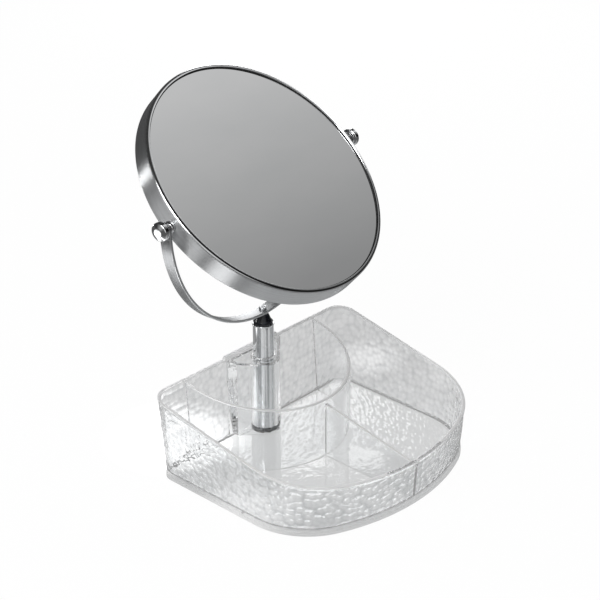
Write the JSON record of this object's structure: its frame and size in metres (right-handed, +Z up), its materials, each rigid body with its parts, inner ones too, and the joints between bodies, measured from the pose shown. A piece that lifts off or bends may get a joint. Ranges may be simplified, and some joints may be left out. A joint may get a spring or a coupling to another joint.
{
  "type": "vanity mirror on organiser tray",
  "caption": "Round two-sided tilting mirror in a swivelling yoke on a post, standing on a clear moulded tray with a bowed front, a round well and divided bays for cosmetics.",
  "frame": {"origin": "centre of the tray's flat base, on the surface it stands on", "axes": "+Z up; -Y towards the tray's bowed front; +X to the right seen from the front"},
  "size_m": [0.205, 0.2128, 0.2543],
  "materials": {
    "clear_plastic": "clear moulded plastic, hammered outside",
    "chrome": "polished chrome plate",
    "brushed_steel": "satin brushed along its length, polished at the lips",
    "mirror": "silvered glass",
    "black_plastic": "satin moulded plastic",
    "black_rubber": "matt",
    "white_plastic": "natural moulded plastic",
    "brass": "turned",
    "zinc_steel": "zinc plated"
  },
  "bodies": {
    "base": {"tray": "clear_plastic", "post_tube": "chrome", "tube_trim_ring": "chrome", "tube_foot_plug": "brass", "base_screw": "zinc_steel", "base_washer": "zinc_steel", "swivel_bush": "white_plastic"},
    "yoke": {"swivel_plug": "black_plastic", "swivel_clip": "zinc_steel", "swivel_washer": "black_plastic", "yoke": "brushed_steel", "yoke_screw": "chrome", "friction_washers_left": "black_plastic", "friction_washers_right": "black_plastic"},
    "mirror": {"mirror_ring": "brushed_steel", "glass_plain": "mirror", "glass_magnifying": "mirror", "gasket_plain": "black_rubber", "gasket_magnifying": "black_rubber", "core_hoop": "white_plastic", "pivot_insert_left": "brass", "pivot_insert_right": "brass", "pivot_stud_left": "zinc_steel", "pivot_stud_right": "zinc_steel", "pivot_spacer_left": "chrome", "pivot_spacer_right": "chrome", "pivot_knob_left": "chrome", "pivot_knob_right": "chrome"}
  },
  "joints": [
    {"name": "yoke_swivel", "type": "hinge", "parent": "base", "child": "yoke", "pos_m": [0, 0.06416, 0.0853], "axis": [0, 0, 1], "continuous": true},
    {"name": "mirror_tilt", "type": "hinge", "parent": "yoke", "child": "mirror", "pos_m": [0, 0.06416, 0.1898], "axis": [0.9954, 0.0958, 0], "continuous": true}
  ]
}
